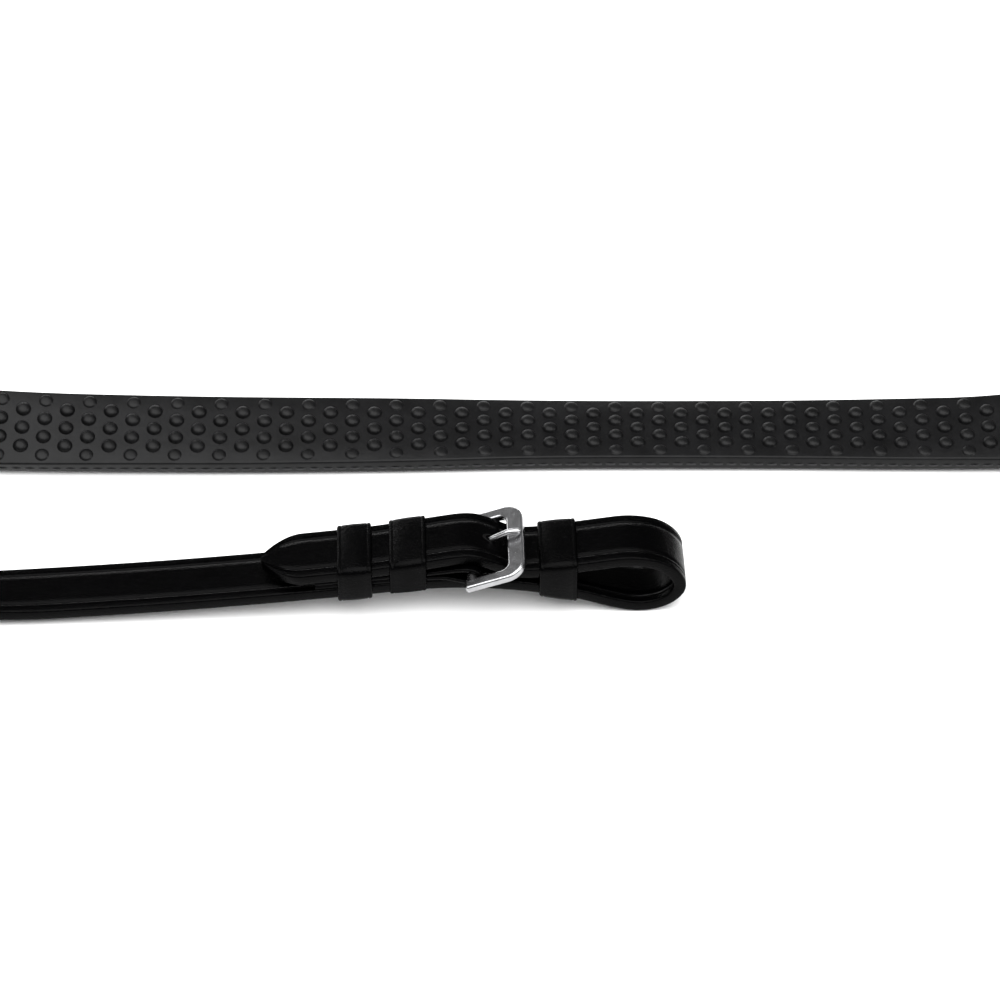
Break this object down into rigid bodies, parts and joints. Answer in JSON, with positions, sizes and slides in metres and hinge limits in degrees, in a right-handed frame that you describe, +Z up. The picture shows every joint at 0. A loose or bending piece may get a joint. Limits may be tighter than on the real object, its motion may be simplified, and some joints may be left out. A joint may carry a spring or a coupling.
{
  "type": "leather riding reins",
  "caption": "Pair of black leather riding reins with pimpled rubber grips, buckled bit ends and a centre buckle.",
  "frame": {"origin": "middle of the whole pair's footprint, on the surface that it lies on", "axes": "+X along the flat rubber grip, towards the coil; +Y from the bit end towards that grip; +Z up"},
  "size_m": [0.8934, 0.212, 0.0329],
  "materials": {
    "black_leather": "semi-gloss",
    "black_rubber": "matte",
    "steel": "polished"
  },
  "bodies": {
    "straps": {"centre_billet": "black_leather", "centre_keeper": "black_leather", "centre_strap_end": "black_leather", "coiled_straps": "black_rubber", "grip_a_core": "black_leather", "grip_a_run": "black_rubber", "grip_a_sleeve": "black_rubber", "grip_a_turn": "black_rubber", "grip_a_twist_in": "black_rubber", "grip_a_twist_out": "black_rubber", "rein_a_bit_strap": "black_leather", "rein_a_chape": "black_leather", "rein_a_fixed_keeper": "black_leather", "rein_a_lead_turn": "black_leather", "rein_a_lead_twist": "black_leather", "rein_a_loop_keeper": "black_leather", "rein_b_bit_strap": "black_leather", "rein_b_chape": "black_leather", "rein_b_fixed_keeper": "black_leather", "rein_b_inner_turn": "black_leather", "rein_b_loop_keeper": "black_leather"},
    "frame_a": {"rein_a_buckle_frame": "steel"},
    "prong_a": {"rein_a_buckle_prong": "steel"},
    "runner_a": {"rein_a_runner_keeper": "black_leather"},
    "frame_b": {"rein_b_buckle_frame": "steel"},
    "prong_b": {"rein_b_buckle_prong": "steel"},
    "runner_b": {"rein_b_runner_keeper": "black_leather"},
    "frame_centre": {"centre_buckle_frame": "steel"},
    "prong_centre": {"centre_buckle_prong": "steel"}
  },
  "joints": [
    {"name": "frame_swing_a", "type": "hinge", "parent": "straps", "child": "frame_a", "pos_m": [-0.08353, 0.01308, 0.0194], "axis": [0.0332, -0.9995, 0], "range_deg": [0, 3]},
    {"name": "prong_lift_a", "type": "hinge", "parent": "frame_a", "child": "prong_a", "pos_m": [-0.08353, 0.01308, 0.0194], "axis": [0.0332, -0.9995, 0], "range_deg": [0, 4]},
    {"name": "frame_swing_b", "type": "hinge", "parent": "straps", "child": "frame_b", "pos_m": [0.27647, -0.06602, 0.0159], "axis": [0, 0, 1], "range_deg": [0, 3]},
    {"name": "prong_lift_b", "type": "hinge", "parent": "frame_b", "child": "prong_b", "pos_m": [0.27647, -0.06602, 0.0159], "axis": [0, 0, 1], "range_deg": [0, 4]},
    {"name": "frame_swing_centre", "type": "hinge", "parent": "straps", "child": "frame_centre", "pos_m": [0.28547, -0.09687, 0.0159], "axis": [0, 0, 1], "range_deg": [0, 3]},
    {"name": "prong_lift_centre", "type": "hinge", "parent": "frame_centre", "child": "prong_centre", "pos_m": [0.28547, -0.09687, 0.0159], "axis": [0, 0, 1], "range_deg": [0, 4]},
    {"name": "runner_slide_a", "type": "slide", "parent": "straps", "child": "runner_a", "axis": [0.9941, 0.033, 0.1029], "range_m": [-0.008, 0.0035]},
    {"name": "runner_slide_b", "type": "slide", "parent": "straps", "child": "runner_b", "axis": [-0.9947, -0.1029, 0], "range_m": [-0.008, 0.0035]}
  ]
}
